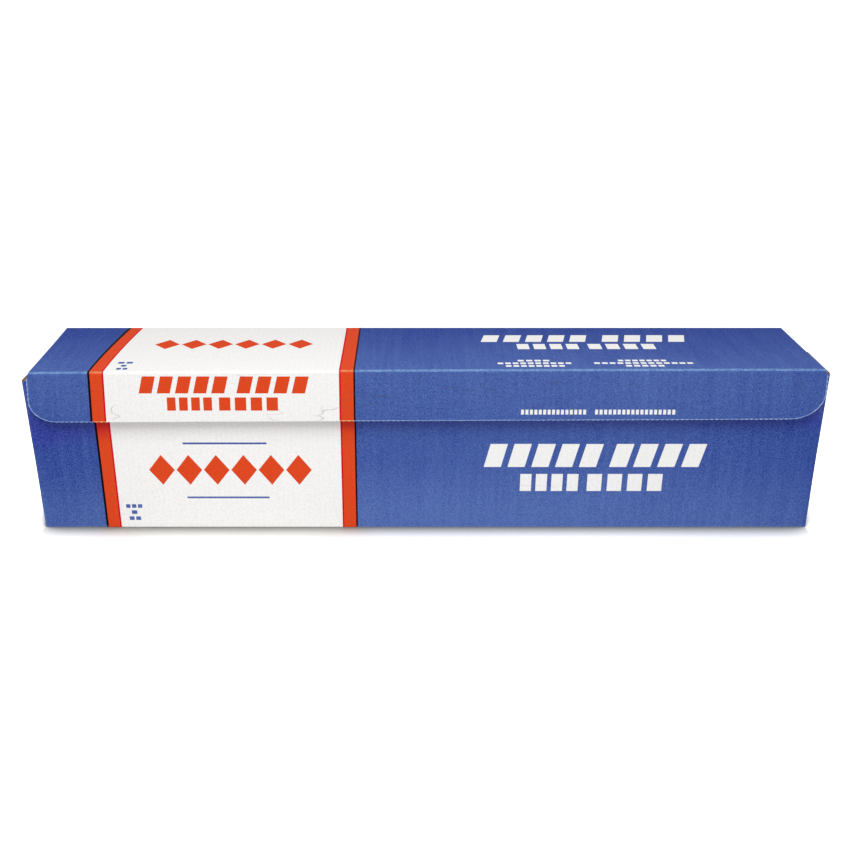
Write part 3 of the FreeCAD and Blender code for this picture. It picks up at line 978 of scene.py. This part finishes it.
class FOILBOX_OT_tray(bpy.types.Operator):
    """Make the box: front and back panels with their end flaps, and the bottom panel with its own"""

    bl_idname = "foilbox.tray"
    bl_label = "Tray"

    def plan(self, u, side):
        """A place along the wall's plan, its inward direction and how far its foot curls under."""
        radius = settings()[0].fold_radius
        straight = HALF_LENGTH - radius
        arc = radius * math.pi / 2
        sign = math.copysign(1.0, u)
        run = abs(u)
        wall = side * HALF_DEPTH
        if run <= straight:
            return u, wall, 0.0, -side, 1.0
        if run <= straight + arc:
            turn = (run - straight) / radius
            x = sign * (straight + radius * math.sin(turn))
            y = wall - side * radius * (1 - math.cos(turn))
            return x, y, -sign * math.sin(turn), -side * math.cos(turn), 1 - 2 * turn / math.pi
        y = wall - side * (radius + run - straight - arc)
        return sign * HALF_LENGTH, y, -sign, 0.0, 0.0

    def wall_top(self, x, side):
        """The wall's height, which is level with the rear crease where the lid joins it."""
        carton = settings()[0]
        if side < 0:
            return FRONT_TOP + carton.front_slope * x / HALF_LENGTH
        low = FRONT_TOP - carton.back_flap_drop
        share = min(x - LID_LEFT, LID_RIGHT - x) / CUT_RAMP
        share = min(1.0, max(0.0, share + 1.0))
        return low + (lid_top() - carton.crease_reach - low) * share

    def wall(self, name, side, materials):
        """A long panel with its two end flaps, folded round the corners."""
        carton = settings()[0]
        radius = carton.fold_radius
        foot = carton.foot_radius
        straight = HALF_LENGTH - radius
        arc = radius * math.pi / 2
        end = straight + arc + HALF_DEPTH - radius - carton.end_seam / 2
        half = spread(0.0, straight, 3.0 * MM)
        half += spread(straight, straight + arc, arc / 6)
        half += spread(straight + arc, end - carton.cut_depth, 4.0 * MM) + [end]
        if side > 0:
            half += [-LID_LEFT, CUT_RAMP - LID_LEFT, LID_RIGHT, LID_RIGHT + CUT_RAMP]
        us = merged([-u for u in half] + half)
        vs = spread(0.0, foot, foot / 4)
        vs += spread(foot, FRONT_TOP - carton.cut_depth, 5.0 * MM)[1:] + [FRONT_TOP - RUB_WIDTH, FRONT_TOP]
        ws = board_layers()
        last_column = len(us) - 2
        last_row = len(vs) - 2

        def creased(i):
            return side > 0 and LID_LEFT < (us[i] + us[i + 1]) / 2 < LID_RIGHT

        def filled(i, j, k):
            rim = j >= last_row - 1 or i in (0, last_column)
            return k != 1 or not rim or creased(i)

        def place(u, v, w):
            x, y, inward_x, inward_y, curl = self.plan(u, side)
            top = self.wall_top(x, side)
            bulge = 0.25 * MM * uneven(x, y, v, 14.0, 3.0 * side) * math.sin(math.pi * v / FRONT_TOP)
            if v >= foot:
                z = foot + (v - foot) * (top - foot) / (FRONT_TOP - foot)
                inset = w + abs(bulge)
            else:
                share = (foot - v) / foot
                bend = share * math.pi / 2
                crushed = w + (min(w, 0.9 * foot) - w) * share
                inset = w + curl * (foot - (foot - crushed) * math.cos(bend) - w)
                z = v + curl * (foot - (foot - crushed) * math.sin(bend) - v)
            return x + inward_x * inset + lean(x, y, z), y + inward_y * inset, z

        def finish(i, j, k, out):
            if out == (0, 0, -1) and k == 0:
                # The corner folds take the worn print as rubbed ink and a painted highlight; the top row takes it as
                # rubbed ink.
                corner = straight < abs((us[i] + us[i + 1]) / 2) < straight + arc
                return WORN_AND_SHEEN if corner or (j == last_row and not creased(i)) else OUTSIDE
            return INSIDE if out == (0, 0, 1) and k == 2 else CUT

        return lattice(name, us, vs, ws, filled, place, finish, materials)

    def bottom(self, name, materials):
        """The bottom panel, folded up at both ends behind the outer flaps."""
        carton = settings()[0]
        radius = carton.fold_radius
        outside = HALF_LENGTH - BOARD
        straight = outside - radius
        arc = radius * math.pi / 2
        end = straight + arc + FRONT_TOP - carton.inner_flap_drop - radius
        clip = end - carton.inner_flap_clip
        half = spread(0.0, straight, 8.0 * MM) + spread(straight, straight + arc, arc / 5)
        half += spread(straight + arc, clip, 8.0 * MM) + spread(clip, end - carton.cut_depth, 3.5 * MM) + [end]
        us = merged([-u for u in half] + half)
        vs = spread(-1.0, 1.0, 0.125)
        ws = board_layers()
        last_column = len(us) - 2
        wide = HALF_DEPTH - carton.foot_radius
        narrow = HALF_DEPTH - BOARD - carton.inner_flap_gap

        def filled(i, j, k):
            return k != 1 or i not in (0, last_column)

        def place(u, v, w):
            sign = math.copysign(1.0, u)
            run = abs(u)
            share = min(1.0, max(0.0, (run - straight) / arc))
            reach = wide + (narrow - wide) * share - max(0.0, run - clip)
            if run <= straight:
                return u + lean(u, v * reach, w), v * reach, w
            if run <= straight + arc:
                turn = (run - straight) / radius
                inner = radius - w
                x = sign * (straight + inner * math.sin(turn))
                z = radius - inner * math.cos(turn)
            else:
                x = sign * (outside - w)
                z = radius + run - straight - arc
            return x + lean(x, v * reach, z), v * reach, z

        def finish(i, j, k, out):
            if out == (0, 0, -1) and k == 0:
                return OUTSIDE if abs(us[i]) < straight + arc else INSIDE
            return INSIDE if out == (0, 0, 1) and k == 2 else CUT

        return lattice(name, us, vs, ws, filled, place, finish, materials)

    def rim_path(self, side):
        """The middle of the board along the wall's cut top edge, split where the lid's crease takes over."""
        carton = settings()[0]
        radius = carton.fold_radius
        straight = HALF_LENGTH - radius
        end = straight + radius * math.pi / 2 + HALF_DEPTH - radius - carton.end_seam / 2
        runs = [(-end, end)] if side < 0 else [(-end, LID_LEFT - 3 * MM), (LID_RIGHT + 2 * MM, end)]
        for low, high in runs:
            path = []
            for u in spread(low, high, 1.0 * MM):
                x, y, inward_x, inward_y, curl = self.plan(u, side)
                z = self.wall_top(x, side) - FLUTE_SETBACK
                path.append((x + inward_x * BOARD / 2 + lean(x, y, z), y + inward_y * BOARD / 2, z))
            yield path

    def execute(self, context):
        plain = board_materials(rub=0.25)
        front = self.wall("carton_front", -1, board_materials(FRONT_MARKS, "Z", "front", front_wear_and_shade, 0.25))
        back = self.wall("carton_back", 1, plain)
        bottom = self.bottom("carton_bottom", plain)
        for made in (front, back, bottom):
            finish_piece(made, "tray", ("carton_tray",))
        tree = flute_tree()
        down = (0.0, 0.0, -settings()[0].cut_depth)
        for side, label in ((-1, "front"), (1, "back")):
            for number, path in enumerate(self.rim_path(side)):
                flutes(f"flutes_{label}_{number}", path, down, tree, "tray")
        return {"FINISHED"}


class FOILBOX_OT_lid(bpy.types.Operator):
    """Make the lid's top panel"""

    bl_idname = "foilbox.lid"
    bl_label = "Lid"

    def execute(self, context):
        carton = settings()[0]
        us = spread(LID_LEFT + carton.cut_depth, LID_RIGHT - carton.cut_depth, 4.0 * MM)
        us = [LID_LEFT, LID_LEFT + 0.4 * MM] + us + [LID_RIGHT - 0.4 * MM, LID_RIGHT]
        vs = spread(CREASE_Y + carton.crease_reach, HALF_DEPTH - carton.crease_reach, 3.0 * MM)
        last = len(us) - 2

        def filled(i, j, k):
            return k != 1 or 1 < i < last - 1

        def place(x, y, w):
            bow = math.sin(math.pi * (y - CREASE_Y) / (HALF_DEPTH - CREASE_Y))
            sag = 0.35 * MM * bow * (0.6 + 0.4 * uneven(x, y, 0.0, 9.0, 7.0))
            return x, y, lid_top() - w - sag + lid_rise(x, y)

        def finish(i, j, k, out):
            if out == (0, 0, -1) and k == 0:
                return WORN_AND_SHEEN if i in (0, last) else OUTSIDE
            return INSIDE if out == (0, 0, 1) and k == 2 else CUT

        made = lattice(
            "lid_panel", us, vs, board_layers(), filled, place, finish,
            board_materials(LID_MARKS, "Y", "lid", shade=lid_painted_light),
        )
        finish_piece(made, "lid", ("lid",))
        return {"FINISHED"}


class FOILBOX_OT_flap(bpy.types.Operator):
    """Make the lid's front flap, with its rounded corners and nicked edge"""

    bl_idname = "foilbox.flap"
    bl_label = "Front flap"

    def execute(self, context):
        carton = settings()[0]
        reach = carton.crease_reach
        full = carton.flap_length
        bends = [1 - math.cos(math.radians(a)) for a in range(0, 91, 6)]
        left = [LID_LEFT + b * carton.corner_left for b in bends]
        right = [LID_RIGHT - b * carton.corner_right for b in bends]
        us = merged(left + right + spread(left[-1], right[-1], carton.nick_pitch / 4))
        vs = spread(0.0, 1 - carton.cut_depth / full, 0.09)
        vs += [1 - 0.55 * MM / full, 1.0]
        last_row = len(vs) - 2

        def depth_at(x):
            edge, width = min((x - LID_LEFT, carton.corner_left), (LID_RIGHT - x, carton.corner_right))
            share = max(0.0, 1 - edge / width)
            return full - width * carton.corner_share * (1 - math.sqrt(max(0.0, 1 - share ** 2)))

        def filled(i, j, k):
            middle = (us[i] + us[i + 1]) / 2
            near_side = min(middle - LID_LEFT, LID_RIGHT - middle) < carton.cut_depth
            return k != 1 or not (near_side or j >= last_row - 1)

        def place(x, v, w):
            nick = 0.5 + 0.5 * math.cos(FULL_TURN * x / carton.nick_pitch)
            s = reach + v * (depth_at(x) - reach) - carton.nick_depth * nick * max(0.0, v - 0.97) / 0.03
            side_nick = 0.5 + 0.5 * math.cos(FULL_TURN * s / carton.nick_pitch)
            edge = min(x - LID_LEFT, LID_RIGHT - x)
            if edge < 0.3 * MM:
                x += math.copysign(carton.nick_depth * side_nick, -x)
            wave = 0.35 * MM * uneven(x, 0.0, s, 16.0, 21.0) + 0.12 * MM * uneven(x, 0.0, s, 70.0, 5.0)
            return on_flap(flap_reach(x, s), s, w + wave * s / full)

        def finish(i, j, k, out):
            if out == (0, 0, -1) and k == 0:
                return OUTSIDE
            return INSIDE if out == (0, 0, 1) and k == 2 else CUT

        made = lattice(
            "flap_panel", us, vs, board_layers(), filled, place, finish,
            board_materials(FLAP_MARKS, "Z", "flap", flap_wear_and_shade, shade=flap_painted_shade),
        )
        finish_piece(made, "flap", ("lid_front_flap",))
        path = []
        for x in spread(LID_LEFT + 1.2 * MM, LID_RIGHT - 1.2 * MM, 1.0 * MM):
            s = depth_at(x) - 0.5 * MM
            path.append(on_flap(flap_reach(x, s), s, BOARD / 2))
        upward = flap_axes()[1] * -(carton.cut_depth - 0.5 * MM)
        flutes("flutes_flap", path, tuple(upward), bpy.data.node_groups["Flutes along an edge"], "flap")
        return {"FINISHED"}


def flap_axes():
    """The flap's crease corner, its direction down and its direction in towards the box."""
    tilt = settings()[0].flap_tilt
    corner = Vector((0.0, CREASE_Y, lid_top()))
    down = Vector((0.0, -math.sin(tilt), -math.cos(tilt)))
    inward = Vector((0.0, math.cos(tilt), -math.sin(tilt)))
    return corner, down, inward


def flap_reach(x, s):
    """The flap's board is cut a little wider than the lid's, so a place moves out towards its own end."""
    carton = settings()[0]
    along = (x - LID_LEFT) / (LID_RIGHT - LID_LEFT)
    out = carton.flap_right * along - carton.flap_left * (1 - along)
    return x + out * min(1.0, max(0.0, s / FLARE_DEPTH))


def on_flap(x, s, w):
    """A place on the flap: s down from the crease and w in from its outer face."""
    corner, down, inward = flap_axes()
    point = corner + down * s + inward * w
    carton = settings()[0]
    bow = carton.crease_bow * (1 - (x / HALF_LENGTH) ** 2)
    return x, point.y, point.z + lid_rise(x, CREASE_Y) - bow * s / carton.flap_length


class FOILBOX_OT_creases(bpy.types.Operator):
    """Make the pressed skins of board that bend at the lid's two creases"""

    bl_idname = "foilbox.creases"
    bl_label = "Creases"

    def skin(self, name, corner, first, second, materials):
        """A strip bent round a corner, from along first to along second, which point away from the corner."""
        carton = settings()[0]
        reach = carton.crease_reach
        radius = carton.crease_radius
        half_angle = math.acos(max(-1.0, min(1.0, first.dot(second)))) / 2
        setback = radius / math.tan(half_angle)
        middle = corner + (first + second).normalized() * (radius / math.sin(half_angle))
        start = corner + first * setback
        finish_point = corner + second * setback
        sweep = math.pi - 2 * half_angle
        stations = [(corner + first * reach, None), (start, None)]
        arc_steps = 8
        for step in range(1, arc_steps):
            turn = Matrix.Rotation(sweep * step / arc_steps, 3, "X")
            arm = turn @ (start - middle)
            if ((middle + arm) - finish_point).length > (start - finish_point).length:
                arm = turn.inverted() @ (start - middle)
            stations.append((middle + arm, arm.normalized()))
        stations += [(finish_point, None), (corner + second * reach, None)]
        normals = []
        outward_first = (start - middle).normalized()
        outward_second = (finish_point - middle).normalized()
        for number, (point, normal) in enumerate(stations):
            normals.append(normal or (outward_first if number < 2 else outward_second))
        us = spread(LID_LEFT, LID_RIGHT, 2.0 * MM)
        vs = list(range(len(stations)))
        ws = [0.0, carton.crease_skin]

        def place(x, v, w):
            point = stations[v][0] - normals[v] * w
            rub = 0.06 * MM * uneven(x, v * 0.002, 0.0, 260.0, 11.0) if 1 < v < len(stations) - 2 else 0.0
            point = point + normals[v] * rub
            if second.y < 0:
                x = flap_reach(x, lid_top() - point.z)
            return x, point.y, point.z + lid_rise(x, point.y)

        def finish(i, j, k, out):
            if out == (0, 0, -1):
                return WORN_AND_SHEEN if 2 <= j <= len(stations) - 4 else OUTSIDE
            return INSIDE if out == (0, 0, 1) else CUT

        made = lattice(name, us, vs, ws, lambda i, j, k: True, place, finish, materials)
        return made

    def execute(self, context):
        materials = board_materials(name="crease", rub=1.0)
        corner, down, inward = flap_axes()
        back = Vector((0.0, 1.0, 0.0))
        front_skin = self.skin("front_crease", corner, back, down, materials)
        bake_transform(front_skin)
        rear = Vector((0.0, HALF_DEPTH, lid_top()))
        forward = Vector((0.0, -1.0, 0.0))
        low = Vector((0.0, 0.0, -1.0))
        rear_skin = self.skin("rear_crease", rear, forward, low, materials)
        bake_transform(rear_skin)
        return {"FINISHED"}


class FOILBOX_OT_blade(bpy.types.Operator):
    """Make the toothed steel strip inside the flap"""

    bl_idname = "foilbox.blade"
    bl_label = "Cutting blade"

    def tooth(self, pitch, depth, thickness):
        """One V tooth, ground thin towards its tip on the side away from the flap."""
        tip = 0.15 * thickness
        points = [
            (0.0, 0.0, 0.0), (pitch, 0.0, 0.0), (pitch / 2, 0.0, -depth),
            (0.0, thickness, 0.0), (pitch, thickness, 0.0), (pitch / 2, tip, -depth),
        ]
        faces = [(0, 1, 2), (3, 5, 4), (0, 2, 5, 3), (2, 1, 4, 5), (1, 0, 3, 4)]
        mesh = bpy.data.meshes.new("tooth")
        mesh.from_pydata(points, [], faces)
        return mesh

    def execute(self, context):
        carton, roll, stage = settings()
        steel = blade_steel()
        pitch = roll.tooth_pitch
        count = round((BLADE_HIGH.x - BLADE_LOW.x) / pitch)
        tip = carton.flap_length - roll.blade_setback
        root = tip - roll.tooth_depth
        top = tip - roll.blade_width
        teeth = grown(
            "teeth", teeth_tree(), self.tooth(pitch, roll.tooth_depth, roll.blade_thickness),
            {"Count": count, "Pitch": pitch, "Material": steel},
        )
        for vertex in teeth.vertices:
            x, y, z = vertex.co
            vertex.co = on_flap(BLADE_LOW.x + x, root - z, BOARD + y)
        teeth_piece = piece_from("blade_teeth", teeth, 20.0)
        finish_piece(teeth_piece, "flap", ("cutter_blade",))
        bead = 0.25 * MM

        def place(x, s, w):
            ridge = math.exp(-(((s - (top + root) / 2) / (1.2 * MM)) ** 2))
            return on_flap(x, s, BOARD + w + bead * ridge)

        strip = lattice(
            "blade_strip", spread(BLADE_LOW.x, BLADE_HIGH.x, 10 * MM), spread(top, root, 0.5 * MM),
            [0.0, roll.blade_thickness], lambda i, j, k: True, place, lambda i, j, k, out: 0, [steel],
        )
        finish_piece(strip, "flap", ("cutter_blade",))
        return {"FINISHED"}


class FOILBOX_OT_core(bpy.types.Operator):
    """Make the paperboard tube"""

    bl_idname = "foilbox.core"
    bl_label = "Tube"

    def execute(self, context):
        roll = settings()[1]
        wall = roll.core_wall
        ease = 0.25 * MM
        xs = [CORE_LOW.x, CORE_LOW.x + ease, *spread(CORE_LOW.x + ease, CORE_HIGH.x - ease, 20 * MM)[1:-1]]
        xs += [CORE_HIGH.x - ease, CORE_HIGH.x]

        def place(angle, x, share):
            squeeze = ease if x in (CORE_LOW.x, CORE_HIGH.x) else 0.0
            inner = CORE_RADIUS - wall + squeeze
            outer = CORE_RADIUS - squeeze
            radius = inner + (outer - inner) * share
            return x, radius * math.sin(angle), ROLL_Z + radius * math.cos(angle)

        made = lattice(
            "tube", spread(0.0, FULL_TURN, FULL_TURN / 96), xs, [0.0, 1.0], lambda i, j, k: True,
            place, lambda i, j, k, out: 0, [tube_board()], wrap=True,
        )
        finish_piece(made, "tray", ("roll_core",))
        return {"FINISHED"}


class FOILBOX_OT_foil(bpy.types.Operator):
    """Make the roll of foil, the turns on its ends and its free edge"""

    bl_idname = "foilbox.foil"
    bl_label = "Foil"

    def outer_radius(self, angle):
        """The last turn's radius, which steps up at the foil's free end on the top. Angles run down the front."""
        return TURN_RADIUS + settings()[1].lead_step * angle / FULL_TURN

    def body(self, skin, ends):
        """The wound foil between the tube and the last turn."""
        roll = settings()[1]
        step_angle = 0.004
        angles = spread(0.0, FULL_TURN - step_angle, FULL_TURN / 144) + [FULL_TURN]
        xs = spread(FOIL_LOW.x, FOIL_HIGH.x, 3.5 * MM)

        def place(angle, x, share):
            outer = self.outer_radius(angle)
            side = Vector((x, 30 * MM * math.sin(angle), 30 * MM * math.cos(angle)))
            crumple = uneven(*side, 55.0, 2.0) + 0.6 * uneven(*side, 140.0, 9.0)
            fade = min(1.0, (HALF_LENGTH - abs(x)) / (20 * MM))
            outer -= roll.crinkle * (0.5 + 0.5 * crumple) * fade
            radius = CORE_RADIUS + (outer - CORE_RADIUS) * share
            return x, -radius * math.sin(angle), ROLL_Z + radius * math.cos(angle)

        def finish(i, j, k, out):
            return 1 if out[1] else 0

        made = lattice(
            "foil_body", angles, xs, [0.0, 1.0], lambda i, j, k: True, place, finish, [skin, ends], wrap=True,
        )
        finish_piece(made, "tray", ("foil_roll",))

    def end_turns(self, ends):
        """A spiral ridge on each end face."""
        roll = settings()[1]
        tree = turns_tree()
        gap = 0.5 * MM
        for side, label in ((-1, "left"), (1, "right")):
            seed = bpy.data.meshes.new("turns_seed")
            mesh = grown("turns", tree, seed, {
                "Turns": float(roll.end_turns),
                "Inner radius": CORE_RADIUS + gap,
                "Outer radius": TURN_RADIUS - gap,
                "Ridge": 0.32 * MM,
                "Unevenness": 0.35 * MM,
                "Material": ends,
            })
            face = FOIL_HIGH.x if side > 0 else FOIL_LOW.x
            for vertex in mesh.vertices:
                a, b, lift = vertex.co
                vertex.co = (face + side * (lift - 0.1 * MM), a, ROLL_Z + b)
            made = piece_from("foil_turns_" + label, mesh, 50.0)
            finish_piece(made, "tray", ("foil_roll",))

    def lead(self, skin):
        """The free edge of the last turn, lifted off the roll and a little wavy."""
        roll = settings()[1]
        thickness = 0.08 * MM
        hold = 10 * MM
        top = TURN_RADIUS + roll.lead_step

        def place(x, v, w):
            y = hold - v * (hold + roll.lead_length)
            on_roll = math.sqrt(max(0.0, top ** 2 - y ** 2)) if y > 0 else top
            wave = uneven(x, v * 0.02, 0.0, 38.0, 4.0) + 0.5 * uneven(x, v * 0.03, 0.0, 120.0, 8.0)
            lift = 0.45 * MM * max(0.0, -y / roll.lead_length) ** 1.3 * wave
            ragged = 0.35 * MM * uneven(x, 0.0, 0.0, 300.0, 6.0) * v
            return x, y + ragged, ROLL_Z + on_roll - thickness + w + lift - 0.03 * MM * (v < 0.5)

        made = lattice(
            "foil_lead", spread(FOIL_LOW.x, FOIL_HIGH.x, 2.5 * MM), spread(0.0, 1.0, 0.06),
            [0.0, thickness], lambda i, j, k: True, place, lambda i, j, k, out: 0, [skin],
        )
        finish_piece(made, "tray", ("foil_roll",))

    def execute(self, context):
        skin = foil_skin()
        ends = foil_ends()
        self.body(skin, ends)
        self.end_turns(ends)
        self.lead(skin)
        return {"FINISHED"}


class FOILBOX_OT_stage(bpy.types.Operator):
    """Set the pale floor, the soft light and the camera"""

    bl_idname = "foilbox.stage"
    bl_label = "Stage"

    def floor(self, stage):
        """A wide floor that is white from a little way off, with a painted contact shadow right against the box."""
        made = bpy.data.materials.new("pale_floor")
        made.use_nodes = True
        made.node_tree.nodes.clear()
        graph = Graph(made.node_tree)
        seen, mirrored = camera_shown(graph)
        # Painted contact shadow: the floor's colour is darkened where ambient occlusion finds the box close by.
        contact = graph.node("ShaderNodeAmbientOcclusion", {"Distance": 0.02}, samples=16)
        near = graph.math("MULTIPLY_ADD", contact.outputs["AO"], 1.75, -0.7, clamp=True)
        place, x, y, z = object_place(graph)
        reach = graph.node("ShaderNodeVectorMath", {0: place}, operation="LENGTH").outputs["Value"]
        gain = graph.math("MULTIPLY_ADD", graph.ramp(reach, 0.3, 1.2), 1.0, stage.floor_gain)
        # Painted light: beside the box's ends the floor is made paler, which clears its shadow there.
        width = graph.math("MAXIMUM", graph.math("ADD", y, -30 * MM), 3 * MM)
        outside = graph.math("ADD", graph.math("ABSOLUTE", x), -HALF_LENGTH)
        beside = graph.math("DIVIDE", outside, width, clamp=True)
        beside = graph.math("MULTIPLY", beside, graph.ramp(y, 250 * MM, 60 * MM))
        gain = graph.math("MULTIPLY_ADD", beside, 1.6, gain)
        # Painted shade: in front of the white field the floor is made less pale, which deepens the contact shadow
        # there.
        before_white = graph.between(x, STRIPE_LEFT[0], STRIPE_RIGHT[0], 30 * MM)
        before_white = graph.math("MULTIPLY", before_white, graph.below(y, -HALF_DEPTH / 2, 20 * MM))
        gain = graph.math("MULTIPLY_ADD", before_white, -0.3, gain)
        paleness = graph.math("MULTIPLY", near, gain)
        # Where the floor is darker it is also made less blue, against the blue light that the box bounces onto it.
        less_blue = graph.math("MULTIPLY", paleness, graph.math("MULTIPLY_ADD", near, 0.09, 0.9))
        pale = graph.node("ShaderNodeCombineColor", {"Red": paleness, "Green": paleness, "Blue": less_blue})
        to_camera = graph.node("ShaderNodeBsdfDiffuse", {"Color": pale.outputs[0]}).outputs[0]
        to_metal = graph.node("ShaderNodeEmission", {"Color": (1, 1, 1, 1)}).outputs[0]
        plain = graph.node("ShaderNodeBsdfDiffuse", {"Color": (0.85, 0.85, 0.85, 1)}).outputs[0]
        first = graph.node("ShaderNodeMixShader", {0: mirrored, 1: plain, 2: to_metal}).outputs[0]
        both = graph.node("ShaderNodeMixShader", {0: seen, 1: first, 2: to_camera}).outputs[0]
        graph.node("ShaderNodeOutputMaterial", {"Surface": both})
        reach = 14.0
        mesh = bpy.data.meshes.new("floor")
        corners = [(-reach, -reach, 0), (reach, -reach, 0), (reach, reach, 0), (-reach, reach, 0)]
        mesh.from_pydata(corners, [], [(0, 1, 2, 3)])
        mesh.materials.append(made)
        floor = bpy.data.objects.new("floor", mesh)
        bpy.context.scene.collection.objects.link(floor)

    def sky(self, scene, stage):
        """Even light, with plain white where the camera or a reflection sees it."""
        world = bpy.data.worlds.new("plain_sky")
        world.use_nodes = True
        world.node_tree.nodes.clear()
        graph = Graph(world.node_tree)
        seen, mirrored = camera_shown(graph)
        shown = graph.math("MAXIMUM", seen, mirrored)
        strength = graph.math("MULTIPLY_ADD", shown, 1.0 - stage.sky, stage.sky)
        light = graph.node("ShaderNodeBackground", {"Color": (1, 1, 1, 1), "Strength": strength})
        graph.node("ShaderNodeOutputWorld", {"Surface": light.outputs[0]})
        scene.world = world

    def lamps(self, scene, stage):
        """A soft key from the front and above."""
        lamp = bpy.data.lights.new("key", "AREA")
        lamp.energy = stage.key
        lamp.size = stage.key_size
        made = bpy.data.objects.new("key", lamp)
        place = Vector(stage.key_place)
        made.location = place
        made.rotation_euler = (Vector((0.0, 0.0, FRONT_TOP / 2)) - place).to_track_quat("-Z", "Y").to_euler()
        scene.collection.objects.link(made)

    def camera(self, scene, stage):
        """The photograph's viewpoint. The shifts are the framing of the cropped photograph."""
        lens = bpy.data.cameras.new("camera")
        lens.lens = stage.lens
        lens.sensor_width = 36.0
        lens.shift_x = 0.0281
        lens.shift_y = 0.1254
        lens.clip_start = 0.05
        lens.clip_end = 60.0
        made = bpy.data.objects.new("camera", lens)
        made.location = stage.camera_place
        made.rotation_euler = (stage.camera_tilt, 0.0, 0.0)
        scene.collection.objects.link(made)
        scene.camera = made

    def execute(self, context):
        stage = settings()[2]
        scene = context.scene
        scene.view_settings.view_transform = "Standard"
        self.floor(stage)
        self.sky(scene, stage)
        self.lamps(scene, stage)
        self.camera(scene, stage)
        return {"FINISHED"}


class FOILBOX_PT_panel(bpy.types.Panel):
    """The box's pieces and their settings"""

    bl_label = "Foil roll"
    bl_idname = "FOILBOX_PT_panel"
    bl_space_type = "VIEW_3D"
    bl_region_type = "UI"
    bl_category = "Foil roll"

    def draw(self, context):
        for operator in OPERATORS:
            self.layout.operator(operator.bl_idname)
        for group in settings():
            column = self.layout.column()
            for name in group.bl_rna.properties.keys():
                if name not in ("rna_type", "name"):
                    column.prop(group, name)


GROUPS = {
    "foil_box_carton": CartonSettings,
    "foil_box_roll": RollSettings,
    "foil_box_stage": StageSettings,
}
OPERATORS = (
    FOILBOX_OT_stage,
    FOILBOX_OT_tray,
    FOILBOX_OT_lid,
    FOILBOX_OT_flap,
    FOILBOX_OT_creases,
    FOILBOX_OT_blade,
    FOILBOX_OT_core,
    FOILBOX_OT_foil,
)


def register():
    for name, group in GROUPS.items():
        bpy.utils.register_class(group)
        setattr(bpy.types.Scene, name, PointerProperty(type=group))
    for operator in OPERATORS:
        bpy.utils.register_class(operator)
    bpy.utils.register_class(FOILBOX_PT_panel)


def unregister():
    bpy.utils.unregister_class(FOILBOX_PT_panel)
    for operator in reversed(OPERATORS):
        bpy.utils.unregister_class(operator)
    for name, group in GROUPS.items():
        delattr(bpy.types.Scene, name)
        bpy.utils.unregister_class(group)


def main():
    register()
    bpy.ops.foilbox.stage()
    bpy.ops.foilbox.tray()
    bpy.ops.foilbox.lid()
    bpy.ops.foilbox.flap()
    bpy.ops.foilbox.creases()
    bpy.ops.foilbox.blade()
    bpy.ops.foilbox.core()
    bpy.ops.foilbox.foil()


if __name__ == "__main__":
    main()
